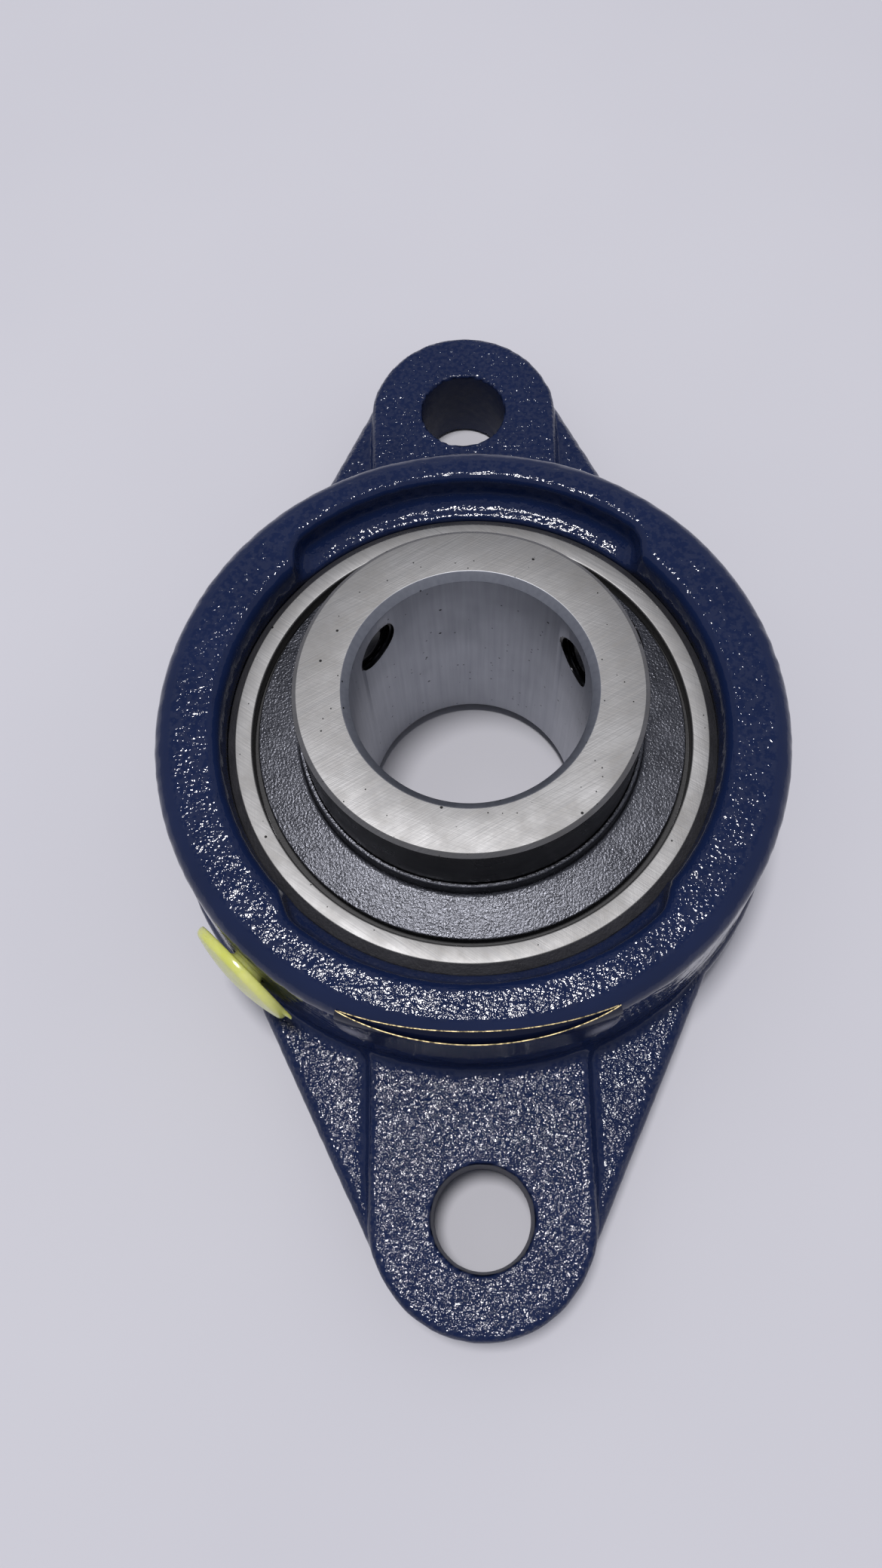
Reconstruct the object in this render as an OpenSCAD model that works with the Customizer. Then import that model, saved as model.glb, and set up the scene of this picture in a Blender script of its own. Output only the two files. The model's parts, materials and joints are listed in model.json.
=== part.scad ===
// Two-bolt flange bearing unit: a cast rhombic housing that holds a
// self-aligning ball bearing insert, locked to its shaft by two set screws.
// The origin is on the mounting face at the bearing axis. +Z points along the
// shaft, out of the front of the unit, and the two bolt holes lie on the Y axis.

/* [Housing] */
// Distance between the two bolt holes
bolt_spacing = 130; // [126:1:140]
// Diameter of each bolt hole
bolt_hole_d = 14; // [10:0.5:16]
// Radius of the rounded end of the flange
lobe_r = 15.4; // [14.5:0.1:18]
// Radius of the raised bolt pad, a little inside the flange edge
pad_r = 15.1; // [13:0.1:15.4]
// Thickness of the flange plate
flange_t = 13; // [7:0.5:14]
// Height of the raised bolt pads above the mounting face
pad_h = 15; // [13:0.5:17]
// Radius of the flange plate round the drum
flange_r = 46; // [45.5:0.1:48]
// Distance from the bearing axis to the flange's straight edges
web_r = 43.8; // [43:0.1:46]
// Radius of the drum where it meets the flange
drum_r = 45.2; // [44.8:0.1:45.5]
// Radius of the drum just below its rounded front edge
drum_top_r = 44.4; // [44:0.1:44.8]
// Height of the drum's front face above the mounting face
drum_h = 34; // [33:0.5:36]
// Radius of the drum's rounded front edge
drum_edge_r = 3; // [2:0.5:4]
// Radius of the front opening at the drum's front face
mouth_r = 35.3; // [35:0.1:36]
// Radius of the two shallow bays in the front face
bay_r = 37.8; // [37:0.1:39]
// Radius of each bay at its floor, where its sloping wall ends
bay_foot_r = 37; // [36:0.1:38]
// Distance by which the cored bays sit off the bearing axis, toward +Y
bay_shift = 0.9; // [0:0.1:1.2]
// Half of the angle that each bay covers
bay_half_angle = 46.5; // [30:0.5:50]
// Height of the bay floor above the mounting face
bay_floor_z = 29; // [28:0.1:31]

/* [Insert] */
// Radius of the shaft bore
bore_r = 15.875; // [15:0.005:17]
// Height of the spherical seat's centre above the mounting face
seat_z = 19; // [18.8:0.1:19.2]
// Radius of the outer ring's spherical outside
sphere_r = 36; // [35.9:0.05:36]
// Width of the outer ring
outer_w = 21; // [20:0.5:21]
// Width of the inner ring
inner_w = 42.9; // [40:0.1:43]
// Distance from the inner ring's back end to the seat centre
inner_back = 17.5; // [17:0.1:18]
// Outside radius of the inner ring
inner_r = 23.4; // [23:0.1:23.6]
// Number of balls
ball_count = 9; // [7:1:9]
// Radius of each ball
ball_r = 5.556; // [5.4:0.001:5.556]
// Radius of the circle through the ball centres
pitch_r = 26.75; // [26.7:0.01:26.8]

/* [Locking and grease] */
// Height of the set screws above the mounting face
screw_z = 37.3; // [36.5:0.1:38]
// Azimuths of the two set screws
screw_azimuths = [24, 144];
// Outside radius of each set screw
screw_r = 3.97; // [3:0.01:4]
// Length of each set screw
screw_len = 7.9; // [7:0.1:9]
// Distance from the bearing axis to a backed-off set screw's point
screw_tip_r = 16.8; // [16:0.1:18]
// Azimuth of the grease hole and its plug
grease_azimuth = -135; // [-140:1:-130]
// Height of the grease hole above the mounting face
grease_z = 22; // [21:0.5:24]
// Radius of the grease plug's domed cap
cap_r = 8.5; // [5:0.5:9]

/* [Hidden] */
$fn = 96;

// Amount by which a cutting tool passes the face it cuts
over = 1;
// Clearance of a ball in its tracks, and of the outer ring in the seat
track_gap = 0.044;
seat_gap = 0.03;
// Clearance of the set screws, the plug and the seals in their bores
slip_gap = 0.03;
lip_gap = 0.05;

paint = "#1d2746";
steel = "#b9bab8";
ground_steel = "#9c9ea3";
dark_steel = "#3a3d44";
rubber_black = "#17181b";
plug_yellow = "#c3cf52";
label_black = "#14161f";

// Heights inside the insert are measured from the seat centre
outer_half = outer_w / 2;
inner_front = inner_w - inner_back;
track_r = ball_r + track_gap;
outer_chamfer = 1;
outer_face_r = sqrt(pow(sphere_r, 2) - pow(outer_half, 2)) - outer_chamfer;
shoulder_r = 30;
seal_bore_r = 31;
seal_bore_h = 6.6;
seal_groove_r = 31.6;
seal_groove_h = 6.7;
seal_groove_w = 0.8;
core_h = 6.9;
core_t = 0.4;
rubber_t = 0.9;
grease_hole_r = 0.9;
grease_hole_h = 5.5;
bore_chamfer = 1.05;
rim_chamfer = 0.6;

// Thickness of the cage's sheet metal and radius of its rivets
cage_sheet = 0.6;
rivet_r = 0.8;

// Back opening and the two slots through which the insert is loaded
back_r = 34;
back_depth = 7;
slot_w = outer_w + 0.6;
slot_r = sphere_r + 0.3;
// Grease groove round the seat, and the hole that feeds it
seat_groove_r = 37;
seat_groove_z = 20.5;
seat_groove_w = 5;
plug_hole_r = 3;

// Point on the circle of radius r at azimuth a
function on_circle(r, a) = [r * cos(a), r * sin(a)];
// Azimuth of a ball, counted from +Y
function ball_azimuth(i) = 90 + 360 * (i - 1) / ball_count;

module at_balls() {
    for (i = [1 : ball_count])
        rotate([0, 0, ball_azimuth(i)])
            translate([pitch_r, 0, 0])
                children();
}

module at_rivets() {
    for (i = [1 : ball_count])
        rotate([0, 0, ball_azimuth(i + 0.5)])
            translate([pitch_r, 0, 0])
                children();
}

// Radial cylinder from radius from_r to to_r at height z and azimuth a
module radial_rod(r, from_r, to_r, z, a) {
    rotate([0, 0, a])
        translate([from_r, 0, z])
            rotate([0, 90, 0])
                cylinder(r = r, h = to_r - from_r);
}

// Housing outline: the round plate and two straight edges running to each lobe
module flange_outline() {
    lean = asin((web_r - lobe_r) / (bolt_spacing / 2));
    round_point = on_circle(web_r, lean);
    lobe_point = on_circle(lobe_r, lean) + [0, bolt_spacing / 2];
    circle(r = flange_r);
    for (side = [0, 1])
        mirror([0, side])
            union() {
                polygon([
                    [0, 0],
                    round_point,
                    lobe_point,
                    [-lobe_point[0], lobe_point[1]],
                    [-round_point[0], round_point[1]]
                ]);
                translate([0, bolt_spacing / 2])
                    circle(r = lobe_r);
            }
}

module bolt_pads() {
    for (side = [-1, 1]) {
        translate([0, side * bolt_spacing / 2, 0])
            cylinder(r = pad_r, h = pad_h);
        translate([-pad_r, side > 0 ? 0 : -bolt_spacing / 2, 0])
            cube([2 * pad_r, bolt_spacing / 2, pad_h]);
    }
}

module drum() {
    rotate_extrude()
        union() {
            polygon([
                [0, 0],
                [drum_r, 0],
                [drum_r, flange_t],
                [drum_top_r, drum_h - drum_edge_r],
                [drum_top_r - drum_edge_r, drum_h],
                [0, drum_h]
            ]);
            translate([drum_top_r - drum_edge_r, drum_h - drum_edge_r])
                circle(r = drum_edge_r);
        }
}

module bay_cut() {
    reach = 2 * bay_r;
    translate([0, bay_shift, bay_floor_z])
        for (side = [-90, 90])
            rotate([0, 0, side])
                intersection() {
                    cylinder(r1 = bay_foot_r, r2 = bay_r, h = drum_h - bay_floor_z + 0.001);
                    linear_extrude(drum_h)
                        polygon([
                            [0, 0],
                            on_circle(reach, -bay_half_angle),
                            on_circle(reach, bay_half_angle)
                        ]);
                }
}

module loading_slots() {
    intersection() {
        translate([0, 0, -over])
            cylinder(r = slot_r, h = seat_z + over);
        translate([-slot_r - over, -slot_w / 2, -over])
            cube([2 * (slot_r + over), slot_w, seat_z + over]);
    }
}

module housing() {
    color(paint)
        difference() {
            union() {
                linear_extrude(flange_t)
                    flange_outline();
                bolt_pads();
                drum();
            }
            translate([0, 0, seat_z])
                sphere(r = sphere_r + seat_gap);
            translate([0, 0, seat_z])
                cylinder(r1 = back_r, r2 = mouth_r, h = drum_h - seat_z + 0.001);
            bay_cut();
            translate([0, 0, -over])
                cylinder(r = back_r, h = back_depth + over);
            loading_slots();
            translate([0, 0, seat_groove_z])
                cylinder(r = seat_groove_r, h = seat_groove_w);
            radial_rod(plug_hole_r, sphere_r - over, drum_r + over, grease_z, grease_azimuth);
            for (side = [-1, 1])
                translate([0, side * bolt_spacing / 2, -over])
                    cylinder(d = bolt_hole_d, h = pad_h + 2 * over);
        }
}

module outer_section() {
    widest = sphere_r + over;
    edge_h = outer_half - (widest - outer_face_r);
    difference() {
        polygon([
            [shoulder_r - over, -outer_half],
            [outer_face_r, -outer_half],
            [widest, -edge_h],
            [widest, edge_h],
            [outer_face_r, outer_half],
            [shoulder_r - over, outer_half]
        ]);
        translate([0, -outer_half - over])
            square([shoulder_r, outer_w + 2 * over]);
        for (side = [0, 1])
            mirror([0, side])
                union() {
                    translate([0, seal_bore_h])
                        square([seal_bore_r, outer_half]);
                    translate([0, seal_groove_h])
                        square([seal_groove_r, seal_groove_w]);
                }
        translate([pitch_r, 0])
            circle(r = track_r);
    }
}

module outer_ring() {
    color(steel)
        translate([0, 0, seat_z])
            difference() {
                intersection() {
                    sphere(r = sphere_r);
                    rotate_extrude()
                        outer_section();
                }
                radial_rod(grease_hole_r, shoulder_r - over, sphere_r + over,
                    grease_hole_h, grease_azimuth);
            }
}

module inner_section() {
    difference() {
        polygon([
            [bore_r + bore_chamfer, -inner_back],
            [inner_r - rim_chamfer, -inner_back],
            [inner_r, rim_chamfer - inner_back],
            [inner_r, inner_front - rim_chamfer],
            [inner_r - rim_chamfer, inner_front],
            [bore_r + bore_chamfer, inner_front],
            [bore_r, inner_front - bore_chamfer],
            [bore_r, bore_chamfer - inner_back]
        ]);
        translate([pitch_r, 0])
            circle(r = track_r);
    }
}

module inner_ring() {
    color(steel)
        difference() {
            translate([0, 0, seat_z])
                rotate_extrude()
                    inner_section();
            for (a = screw_azimuths)
                radial_rod(screw_r + slip_gap, bore_r - over, inner_r + over, screw_z, a);
        }
}

module ball(i) {
    color(ground_steel)
        rotate([0, 0, ball_azimuth(i)])
            translate([pitch_r, 0, seat_z])
                sphere(r = ball_r);
}

// Half of the riveted ribbon cage, built on the front side of the ball plane
module cage_half() {
    band_in = 24.7;
    band_out = 28.8;
    pocket_r = ball_r + 0.09;
    difference() {
        intersection() {
            difference() {
                cylinder(r = band_out, h = pocket_r + cage_sheet);
                translate([0, 0, -over])
                    cylinder(r = band_in, h = pocket_r + cage_sheet + 2 * over);
            }
            union() {
                cylinder(r = band_out + over, h = cage_sheet);
                at_balls()
                    sphere(r = pocket_r + cage_sheet);
            }
        }
        at_balls()
            sphere(r = pocket_r);
        at_rivets()
            translate([0, 0, -over])
                cylinder(r = rivet_r, h = cage_sheet + 2 * over, $fn = 24);
    }
}

module cage_front() {
    color(ground_steel)
        translate([0, 0, seat_z])
            cage_half();
}

module cage_back() {
    color(ground_steel)
        translate([0, 0, seat_z])
            mirror([0, 0, 1])
                cage_half();
}

module cage_rivets() {
    head_r = 1.4;
    head_h = 0.5;
    color(dark_steel)
        translate([0, 0, seat_z])
            at_rivets()
                union() {
                    translate([0, 0, -cage_sheet - head_h])
                        cylinder(r = rivet_r - slip_gap, h = 2 * (cage_sheet + head_h), $fn = 24);
                    for (side = [0, 1])
                        mirror([0, 0, side])
                            translate([0, 0, cage_sheet])
                                cylinder(r = head_r, h = head_h, $fn = 24);
                }
}

// Steel washer moulded into a seal, held in the outer ring's groove
module seal_core() {
    core_in = 26;
    core_out = seal_groove_r - 2 * lip_gap;
    rotate_extrude()
        translate([core_in, core_h])
            square([core_out - core_in, core_t]);
}

// Rubber seal on its washer, with a lip that wipes the inner ring
module seal_rubber() {
    lip_r = inner_r + lip_gap;
    root_r = 25.9;
    rim_r = seal_bore_r - lip_gap;
    core_top = core_h + core_t;
    rotate_extrude()
        polygon([
            [lip_r, core_h],
            [root_r, core_h],
            [root_r, core_top],
            [rim_r, core_top],
            [rim_r, core_top + rubber_t],
            [lip_r, core_top + rubber_t]
        ]);
}

// Sheet-metal flinger pressed on the inner ring, a short collar and a cone
module flinger() {
    grip_r = inner_r + 0.01;
    collar_r = inner_r + 0.7;
    collar_top = 13.9;
    brim_r = 30.2;
    brim_h = 9.6;
    root_h = 10.4;
    sheet = 0.6;
    rotate_extrude()
        polygon([
            [grip_r, root_h - sheet],
            [collar_r, root_h],
            [brim_r, brim_h],
            [brim_r, brim_h + sheet],
            [collar_r, root_h + sheet],
            [collar_r, collar_top],
            [grip_r, collar_top]
        ]);
}

module front_of_insert() {
    translate([0, 0, seat_z])
        children();
}

module back_of_insert() {
    translate([0, 0, seat_z])
        mirror([0, 0, 1])
            children();
}

module seal_front() {
    color(rubber_black) front_of_insert() seal_rubber();
}

module seal_back() {
    color(rubber_black) back_of_insert() seal_rubber();
}

module seal_core_front() {
    color(ground_steel) front_of_insert() seal_core();
}

module seal_core_back() {
    color(ground_steel) back_of_insert() seal_core();
}

module flinger_front() {
    color(dark_steel) front_of_insert() flinger();
}

module flinger_back() {
    color(dark_steel) back_of_insert() flinger();
}

// Set screw with a hexagon socket at its outer end and a cup point
module set_screw(azimuth) {
    socket_d = 4;
    socket_depth = 4;
    cup_r = 2;
    chamfer = 0.7;
    color(dark_steel)
        rotate([0, 0, azimuth])
            translate([screw_tip_r, 0, screw_z])
                rotate([0, 90, 0])
                    difference() {
                        rotate_extrude()
                            polygon([
                                [0, 0],
                                [screw_r - 2 * chamfer, 0],
                                [screw_r, 2 * chamfer],
                                [screw_r, screw_len - chamfer],
                                [screw_r - chamfer, screw_len],
                                [0, screw_len]
                            ]);
                        translate([0, 0, -over])
                            cylinder(r1 = cup_r + over, r2 = 0, h = cup_r + over);
                        translate([0, 0, screw_len - socket_depth])
                            cylinder(d = socket_d / cos(30), h = socket_depth + over, $fn = 6);
                    }
}

module set_screw_1() {
    set_screw(screw_azimuths[0]);
}

module set_screw_2() {
    set_screw(screw_azimuths[1]);
}

// Plastic plug: a domed cap against the drum and a stem in the grease hole
module grease_plug() {
    cap_x = drum_r + 0.1;
    rim_t = 1.2;
    dome_h = 1.3;
    dome_r = (pow(cap_r, 2) + pow(dome_h, 2)) / (2 * dome_h);
    stem_tip = seat_groove_r + 0.5;
    color(plug_yellow)
        rotate([0, 0, grease_azimuth])
            translate([0, 0, grease_z])
                rotate([0, 90, 0])
                    union() {
                        translate([0, 0, cap_x])
                            cylinder(r = cap_r, h = rim_t);
                        intersection() {
                            translate([0, 0, cap_x + rim_t + dome_h - dome_r])
                                sphere(r = dome_r);
                            translate([0, 0, cap_x + rim_t])
                                cylinder(r = cap_r, h = dome_h + over);
                        }
                        translate([0, 0, stem_tip])
                            cylinder(r = plug_hole_r - lip_gap, h = cap_x - stem_tip);
                    }
}

// Foil label bent round the drum's wall
module label() {
    half_angle = 24.6;
    label_z = 24;
    label_h = 9;
    label_t = 0.2;
    color(label_black)
        rotate([0, 0, -90 - half_angle])
            rotate_extrude(angle = 2 * half_angle)
                translate([drum_r - 0.2, label_z])
                    square([label_t, label_h]);
}

housing();
outer_ring();
inner_ring();
ball(1);  // ball_1
ball(2);  // ball_2
ball(3);  // ball_3
ball(4);  // ball_4
ball(5);  // ball_5
ball(6);  // ball_6
ball(7);  // ball_7
ball(8);  // ball_8
ball(9);  // ball_9
cage_front();
cage_back();
cage_rivets();
seal_front();
seal_back();
seal_core_front();
seal_core_back();
flinger_front();
flinger_back();
set_screw_1();
set_screw_2();
grease_plug();
label();
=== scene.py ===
"""Two-bolt flange bearing unit: the visible pieces, their materials, the light and the camera.

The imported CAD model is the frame. Every size here is in millimetres, in the frame's own axes, and becomes
metres when a mesh is made. The casting is meshed from a signed distance field; the turned parts are lathe
profiles; the screws are swept threads.
"""
import json
import math

import bmesh
import bpy
import numpy as np
from mathutils import Matrix, Vector


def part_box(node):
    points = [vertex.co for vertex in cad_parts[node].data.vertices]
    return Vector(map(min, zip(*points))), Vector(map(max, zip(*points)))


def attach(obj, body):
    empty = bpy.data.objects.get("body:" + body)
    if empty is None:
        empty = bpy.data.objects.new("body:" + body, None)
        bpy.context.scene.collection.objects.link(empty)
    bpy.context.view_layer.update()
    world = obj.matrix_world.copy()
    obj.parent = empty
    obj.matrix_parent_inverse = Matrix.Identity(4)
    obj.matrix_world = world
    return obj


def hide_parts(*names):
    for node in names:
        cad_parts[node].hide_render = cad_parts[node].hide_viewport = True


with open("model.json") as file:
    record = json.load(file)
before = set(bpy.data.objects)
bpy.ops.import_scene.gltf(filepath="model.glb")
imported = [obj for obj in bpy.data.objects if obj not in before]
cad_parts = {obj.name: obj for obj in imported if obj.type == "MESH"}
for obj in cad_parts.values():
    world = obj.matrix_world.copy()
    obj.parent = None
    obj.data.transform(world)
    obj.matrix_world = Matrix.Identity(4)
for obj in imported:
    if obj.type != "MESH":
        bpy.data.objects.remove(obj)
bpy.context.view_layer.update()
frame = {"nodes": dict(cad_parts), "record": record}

MM = 0.001

# ---------------------------------------------------------------- sizes from the frame, in mm

record = frame["record"]
mounts = {mount["name"]: mount for mount in record["mounts"]}


def node_box(node):
    """Lowest and highest corner of a CAD node as two arrays in mm."""
    low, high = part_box(node)
    return np.array(low) / MM, np.array(high) / MM


housing_low, housing_high = node_box("housing")
ring_low, ring_high = node_box("outer_ring")
inner_low, inner_high = node_box("inner_ring")
screw_low, screw_high = node_box("set_screw_1")

flange_r = housing_high[0]
drum_h = housing_high[2]
lobe_tip = housing_high[1]
bolt_y = mounts["bolt_holes"]["dims"]["spacing_y_mm"] / 2
bolt_r = mounts["bolt_holes"]["dims"]["hole_r_mm"]
bore_r = mounts["shaft_bore"]["dims"]["r_mm"]
lobe_r = lobe_tip - bolt_y
seat_z = (ring_low[2] + ring_high[2]) / 2
sphere_r = ring_high[0]

# ---------------------------------------------------------------- casting sizes, in mm

flange_t = 13.0
flange_edge_r = 1.8
web_r = 43.8
pad_half = 15.5
pad_h = 15.0
pad_draft = 0.05
pad_edge_r = 0.9
pad_fillet = 1.6
drum_r = 45.2
drum_draft = 0.044
drum_edge_r = 3.0
drum_fillet = 1.9
fillet_fade = 4.0
mouth_r = 35.3
mouth_taper = 0.17
bay_r = 37.8
bay_shift = 0.9
bay_half_angle = math.radians(46.5)
bay_corner_r = 5.0
bay_floor_z = 29.0
bay_floor_rise = 0.06
bay_draft = 0.13
bay_fillet = 2.0
bay_edge_r = 1.0
mouth_edge_r = 1.4
hole_edge_r = 0.25
seat_gap = 0.03
seat_edge_r = 0.5
back_r = 34.0
back_depth = 7.0
slot_half = 10.8
slot_r = 36.3
grease_azimuth = math.radians(-135)
grease_z = 22.0
grease_hole_r = 3.0
base_edge_r = 0.4

cast_step = 0.64
cast_grain = 0.02


# ---------------------------------------------------------------- distance fields, in mm

def length(*parts):
    return np.sqrt(sum(part * part for part in parts))


def joined(a, b, r):
    """Union of two fields with a fillet of radius r between them."""
    return np.maximum(r, np.minimum(a, b)) - length(np.maximum(r - a, 0), np.maximum(r - b, 0))


def met(a, b, r):
    """Intersection of two fields with the edge between them rounded to radius r."""
    return np.minimum(-r, np.maximum(a, b)) + length(np.maximum(r + a, 0), np.maximum(r + b, 0))


def smooth_step(value, low, high):
    t = np.clip((value - low) / (high - low), 0, 1)
    return t * t * (3 - 2 * t)


def flange_outline(x, y):
    """Distance to the flange's outline: a round plate with straight edges running to each bolt lobe."""
    lean = (web_r - lobe_r) / bolt_y
    rise = math.sqrt(1 - lean ** 2)
    side = np.abs(x)
    along = np.abs(y)
    turn = along * rise - side * lean
    plate = length(x, y) - flange_r
    lobe = length(x, along - bolt_y) - lobe_r
    edge = side * rise + along * lean - web_r
    middle = length(x, y) - web_r
    webs = np.where(turn < 0, middle, np.where(turn > rise * bolt_y, lobe, edge))
    return np.minimum(plate, webs)


def bay_field(x, y, z):
    """The two shallow cored bays in the drum's face: one arc on either side of a centre moved along Y."""
    y = y - bay_shift
    radius = length(x, y)
    side = np.abs(x) * math.cos(bay_half_angle) - np.abs(y) * math.sin(bay_half_angle)
    plan = met(radius - bay_r, side, bay_corner_r) + bay_draft * (drum_h - z)
    floor = bay_floor_z + bay_floor_rise * (radius - back_r) - z
    return met(plan, floor, bay_fillet)


def housing_field(p):
    """Signed distance to the casting of the points p."""
    x, y, z = p
    outline = flange_outline(x, y)
    radius = length(x, y)
    inland = smooth_step(-outline, 0, fillet_fade)

    from_middle = length(x, np.maximum(np.abs(y) - bolt_y, 0))
    pad_side = from_middle - pad_half - pad_draft * (pad_h - z)
    pad = met(np.maximum(pad_side, outline), z - pad_h, pad_edge_r)
    plate = met(outline, z - flange_t, flange_edge_r)
    body = joined(plate, pad, pad_fillet * inland)
    drum = met(radius - drum_r + drum_draft * (z - flange_t), z - drum_h, drum_edge_r)
    body = joined(body, drum, drum_fillet * inland)
    body = met(body, -z, base_edge_r)

    mouth = radius - mouth_r - mouth_taper * (z - drum_h)
    body = met(body, -bay_field(x, y, z), bay_edge_r)
    body = met(body, -mouth, mouth_edge_r)
    seat = length(x, y, z - seat_z) - sphere_r - seat_gap
    back = np.maximum(radius - back_r, z - back_depth)
    slots = np.maximum(np.maximum(np.abs(y) - slot_half, radius - slot_r), z - seat_z)
    body = met(body, -np.minimum(seat, back), seat_edge_r)
    body = met(body, -slots, base_edge_r)

    toward = x * math.cos(grease_azimuth) + y * math.sin(grease_azimuth)
    across = y * math.cos(grease_azimuth) - x * math.sin(grease_azimuth)
    grease_hole = np.maximum(length(across, z - grease_z) - grease_hole_r, -toward)
    bolt_holes = length(x, np.abs(y) - bolt_y) - bolt_r
    body = met(body, -bolt_holes, hole_edge_r)
    return np.maximum(body, -grease_hole)


def field_slope(field, p, reach=0.02):
    """Gradient of a field at the points p."""
    slope = []
    for axis in range(3):
        step = np.zeros((3, 1))
        step[axis] = reach
        slope.append((field(p + step) - field(p - step)) / (2 * reach))
    return np.array(slope)


def surface_net(field, low, high, step):
    """Points and outward quads on the zero surface of a field: one point in each crossed cell."""
    axes = [np.arange(a - 2 * step, b + 3 * step, step) for a, b in zip(low, high)]
    grid = np.meshgrid(*axes, indexing="ij", sparse=True)
    values = field(grid)
    cells = np.array(values.shape) - 1
    sums = np.zeros((3, cells.prod()))
    hits = np.zeros(cells.prod())
    quads = []
    for axis in range(3):
        first = np.take(values, range(values.shape[axis] - 1), axis)
        second = np.take(values, range(1, values.shape[axis]), axis)
        edges = np.argwhere((first < 0) != (second < 0))
        start = first[tuple(edges.T)]
        end = second[tuple(edges.T)]
        points = edges.astype(float)
        points[:, axis] += start / (start - end)
        u = (axis + 1) % 3
        v = (axis + 2) % 3
        around = []
        for du, dv in ((0, 0), (-1, 0), (-1, -1), (0, -1)):
            cell = edges.copy()
            cell[:, u] += du
            cell[:, v] += dv
            flat = np.ravel_multi_index(cell.T, cells)
            hits += np.bincount(flat, minlength=hits.size)
            for k in range(3):
                sums[k] += np.bincount(flat, points[:, k], minlength=hits.size)
            around.append(flat)
        around = np.stack(around, 1)
        inward = start > 0
        around[inward] = around[inward][:, ::-1]
        quads.append(around)
    used = np.flatnonzero(hits)
    place = np.full(hits.size, -1)
    place[used] = np.arange(used.size)
    origin = np.array([axis_values[0] for axis_values in axes])[:, None]
    points = origin + step * sums[:, used] / hits[used]
    return points, place[np.concatenate(quads)]


def settle(field, points, quads, step, rounds=4):
    """Evens out a net's points along its surface and moves them onto the field's zero surface."""
    least_steep = 0.2
    pairs = np.concatenate([quads[:, [k, (k + 1) % 4]] for k in range(4)])
    pairs = np.concatenate([pairs, pairs[:, ::-1]])
    count = points.shape[1]
    degree = np.bincount(pairs[:, 0], minlength=count)
    for _ in range(rounds):
        middle = np.array([
            np.bincount(pairs[:, 0], points[k][pairs[:, 1]], minlength=count) for k in range(3)
        ]) / degree
        slope = field_slope(field, points)
        normal = slope / (length(*slope) + 1e-9)
        drift = 0.5 * (middle - points)
        points = points + drift - normal * (drift * normal).sum(0)
        for _ in range(2):
            slope = field_slope(field, points)
            steep = np.maximum((slope * slope).sum(0), least_steep)
            jump = field(points) / steep
            points = points - slope * np.clip(jump, -step / 2, step / 2)
    return points


class GrainNoise:
    """Smooth random relief: a seeded sum of plane waves with wavelengths between two limits."""

    def __init__(self, seed, shortest, longest, waves=48):
        random = np.random.default_rng(seed)
        heading = random.normal(size=(waves, 3))
        heading /= np.linalg.norm(heading, axis=1)[:, None]
        wavelength = random.uniform(shortest, longest, waves)
        self.wave = heading * (2 * math.pi / wavelength)[:, None]
        self.phase = random.uniform(0, 2 * math.pi, waves)
        self.scale = math.sqrt(2 / waves)

    def height(self, points):
        return np.sin(self.wave @ points + self.phase[:, None]).sum(0) * self.scale

    def slope(self, points):
        return self.wave.T @ np.cos(self.wave @ points + self.phase[:, None]) * self.scale


# ---------------------------------------------------------------- meshes

def new_piece(name, points, faces, body, replaces=(), materials=()):
    """A smooth mesh piece from points in mm (3 x n) and equal-sized faces, riding on a CAD body."""
    mesh = bpy.data.meshes.new(name)
    sides = faces.shape[1]
    mesh.vertices.add(points.shape[1])
    mesh.vertices.foreach_set("co", (points.T * MM).astype(np.float32).ravel())
    mesh.loops.add(faces.size)
    mesh.loops.foreach_set("vertex_index", faces.astype(np.int32).ravel())
    mesh.polygons.add(len(faces))
    mesh.polygons.foreach_set("loop_start", np.arange(0, faces.size, sides, dtype=np.int32))
    mesh.update(calc_edges=True)
    mesh.validate()
    mesh.shade_smooth()
    for material in materials:
        mesh.materials.append(material)
    piece = bpy.data.objects.new(name, mesh)
    bpy.context.scene.collection.objects.link(piece)
    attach(piece, body)
    if replaces:
        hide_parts(*replaces)
    return piece


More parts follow.
